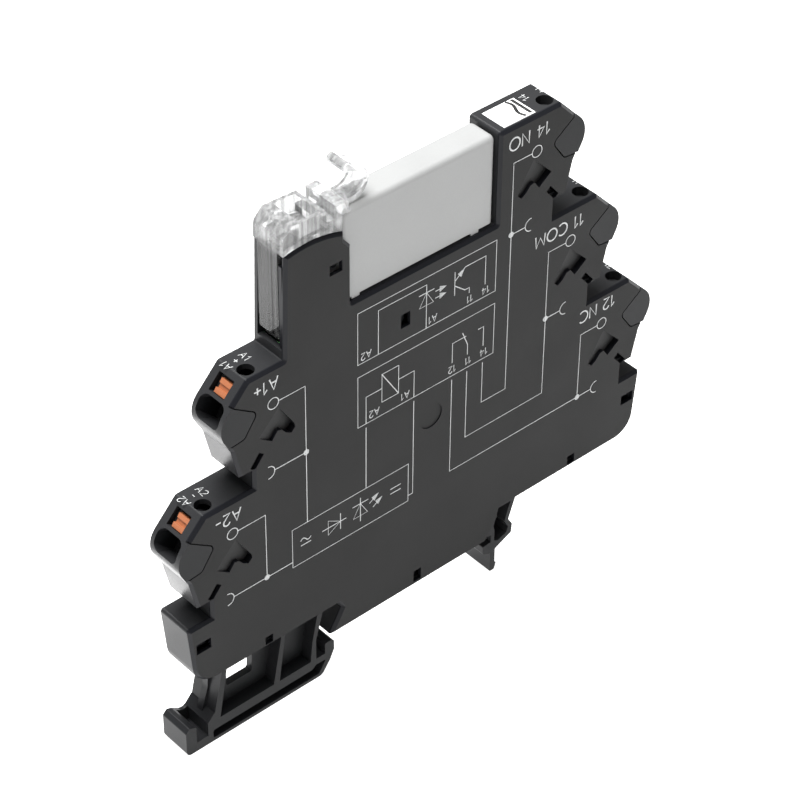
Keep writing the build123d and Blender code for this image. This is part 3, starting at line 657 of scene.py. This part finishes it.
# Letters as strokes one unit high: width, then the strokes
GLYPHS = {
    " ": (0.3, []),
    "+": (0.56, [[(0, 0.45), (0.56, 0.45)], [(0.28, 0.17), (0.28, 0.73)]]),
    "-": (0.42, [[(0, 0.4), (0.42, 0.4)]]),
    "1": (0.3, [[(0, 0.72), (0.26, 1), (0.26, 0)]]),
    "2": (0.58, [bow(0.29, 0.71, 0.27, 0.28, 165, -38, 12) + [(0.01, 0), (0.58, 0)]]),
    "4": (0.62, [[(0.45, 0), (0.45, 1), (0, 0.3), (0.62, 0.3)]]),
    "A": (0.7, [[(0, 0), (0.35, 1), (0.7, 0)], [(0.13, 0.36), (0.57, 0.36)]]),
    "C": (0.76, [bow(0.46, 0.5, 0.46, 0.5, 48, 312)]),
    "M": (0.9, [[(0, 0), (0.08, 1), (0.45, 0.22), (0.82, 1), (0.9, 0)]]),
    "N": (0.64, [[(0, 0), (0, 1), (0.64, 0), (0.64, 1)]]),
    "O": (0.94, [bow(0.47, 0.5, 0.47, 0.5, 0, 360, RING_STEPS)[:-1] + [(0.94, 0.5)]]),
}


def word(text, height, x=0.0, z=0.0, turned=False):
    """Strokes of a text centred on a place, upside down where turned."""
    width = sum(GLYPHS[char][0] + SPACING for char in text) - SPACING
    scale = -height if turned else height
    runs = []
    start = -width / 2
    for char in text:
        advance, strokes = GLYPHS[char]
        runs += [[(x + (start + px) * scale, z + (pz - 0.5) * scale) for px, pz in run] for run in strokes]
        start += advance + SPACING
    return runs


def words(texts, height):
    """Upside-down words of the face, each at its own place."""
    return [run for text, x, z in texts for run in word(text, height, x, z, turned=True)]


def terminal_runs():
    """Ring, socket sign and dot of the five terminals, with the lines between them."""
    runs = []
    for (ring_x, ring_z), socket_x, dot_x, z in TERMINALS.values():
        side = side_of(dot_x - ring_x)
        opening = (-95, 95) if side > 0 else (85, 275)
        runs += [ring(ring_x, ring_z, RING), [(ring_x + side * RING, ring_z), (dot_x, ring_z), (dot_x, z)]]
        runs += [bow(socket_x, z, SOCKET, SOCKET, *opening), [(socket_x + side * SOCKET, z), (dot_x, z)]]
        runs += dot(dot_x, z, DOT)
    return runs


def bus_runs():
    """Lines from the terminal dots and the coil to the boxes."""
    dots = {name: (x, z) for name, (_, _, x, z) in TERMINALS.items()}
    supply_left, supply_right, _, supply_top = SUPPLY_BOX
    left, right = COIL_LEADS
    runs = [[dots["A1"], (dots["A1"][0], supply_top)], [dots["A2"], (supply_left, dots["A2"][1])],
            [dots["12"], (COLUMNS["12"], dots["12"][1]), (COLUMNS["12"], BUS_TOP)],
            [(left, BUS_TOP), (left, supply_top)],
            [(right, BUS_TOP), (right, RETURN_LEVEL), (supply_right, RETURN_LEVEL)]]
    for name, level in BUS_LEVELS.items():
        x, column = dots[name][0], COLUMNS[name]
        runs.append([dots[name], (x, level), (column, level), (column, BUS_TOP)])
    return runs


def supply_box():
    """Lower left box: rectifier with its signal light, between the signs of its two currents."""
    upper, lower, middle = 22.1, 21.2, 21.6
    runs = [box_run(*SUPPLY_BOX), wave_run(-19.5, upper, 1.9, 0.35), level_run(-20.4, -18.55, lower)]
    runs += diode_runs(-14.2, middle, 0) + diode_runs(-9.3, middle, 90)
    for x, z in ((-6.0, 22.75), (-5.3, 21.7)):
        runs.append([(x - 1.6, z - 1.0), (x - 0.6, z - 0.35)])
        runs += arrow_head(x + 0.1, z + 0.1, 32)
    return runs + [level_run(-3.6, -1.6, z) for z in (upper, lower)]


def relay_box():
    """Middle box: coil and changeover contact."""
    left, right, low, high = COIL_BOX
    runs = [box_run(*RELAY_BOX), box_run(*COIL_BOX), [(left, high), (right, low)]]
    for lead, end in zip(COIL_LEADS, (left, right)):
        runs.append([(lead, RELAY_BOX[2]), (lead, COIL_LEVEL), (end, COIL_LEVEL)])
    foot, fixed = 39.5, 43.0
    for name, tip in (("12", 10.6), ("14", 12.9)):
        runs.append([(COLUMNS[name], foot), (COLUMNS[name], fixed), (tip, fixed)])
    return runs + [[(COLUMNS["11"], foot), (COLUMNS["11"], 41.3), (9.9, 43.9)]]


def switch_box():
    """Upper box: light-emitting diode and transistor."""
    bottom = SWITCH_BOX[2]
    lead, diode_x, top = -6.0, 2.85, 56.07
    runs = [box_run(*SWITCH_BOX), [(lead, bottom), (lead, top), (diode_x, top), (diode_x, bottom)]]
    runs += diode_runs(diode_x, 53.6, 90, SWITCH_DIODE)
    for z in (54.1, 52.9):
        runs.append(level_run(4.5, 5.6, z))
        runs += arrow_head(6.5, z, 0)
    base_x, bend_x, upper, lower, foot = 8.15, 10.1, 55.6, 51.55, 50.6
    runs += [[(base_x, 51.5), (base_x, upper)],
             [(base_x, 54.0), (bend_x, upper), (COLUMNS["14"], upper), (COLUMNS["14"], foot)],
             [(base_x, 53.2), (bend_x, lower), (10.95, lower), (10.95, foot)]]
    return runs + arrow_head(9.9, 55.4, 40)


def print_face(ink):
    """All ink on the printed side; its letters read from the other side of the module."""
    place = Matrix.Translation((0, FACE_Y, 0))
    lines = terminal_runs() + bus_runs() + supply_box() + relay_box() + switch_box()
    pieces = [as_print(lines, LINE, place), as_print(words(LARGE_WORDS, CAP_LARGE), BOLD, place),
              as_print(words(SMALL_WORDS, CAP_SMALL), THIN, place)]
    join(pieces, "face_print", ink)


def lying(x, y, z, side):
    """Place of print on a level face, with the tops of its letters towards side."""
    turn = Matrix(((0, 0, side), (-side, 0, 0), (0, -1, 0)))
    return Matrix.Translation((x, y, z)) @ turn.to_4x4()


def print_shelves(ink):
    """Terminal names on the shelves, readable from both sides."""
    inwards, up = (length * MM for length in NOSE_FROM_BORE)
    near, far = (length * MM for length in SHELF_LABELS)
    pieces = []
    for name, mount in wire_entries():
        text = name.upper()
        bore_x, _, bore_z = mount["pos_m"]
        side = side_of(bore_x)
        labels = [(text, near, side), (text, far, -side)]
        if text in SHELF_SIGNS:
            labels.append((SHELF_SIGNS[text], (near + far) / 2, side))
        for label, distance, towards in labels:
            place = lying(bore_x + side * (inwards - distance), SHELF_LABEL_Y * MM, bore_z + up, towards)
            pieces.append(as_print(word(label, CAP_SMALL), THIN, place))
    join(pieces, "shelf_print", ink)


def print_tag(ink):
    """Generic sign for direct and alternating current on the marker tag."""
    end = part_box("marker_tag")[1]
    bar, wave = level_run(-TAG_BAR / 2, TAG_BAR / 2, 0), wave_run(0, 0, *TAG_WAVE, 24)
    pieces = [as_print([bar], TAG_BAR_WIDTH, lying(end.x - TAG_BAR_FROM * MM, 0, end.z, 1)),
              as_print([wave], TAG_WAVE_WIDTH, lying(end.x - TAG_WAVE_FROM * MM, 0, end.z, 1))]
    join(pieces, "tag_print", ink)


add_camera()
add_stage()
materials = make_materials()
dress_nodes(materials)
for terminal, mount in wire_entries():
    make_button(terminal, mount, materials["button"])
print_face(materials["ink"])
print_shelves(materials["ink"])
print_tag(materials["tag_ink"])
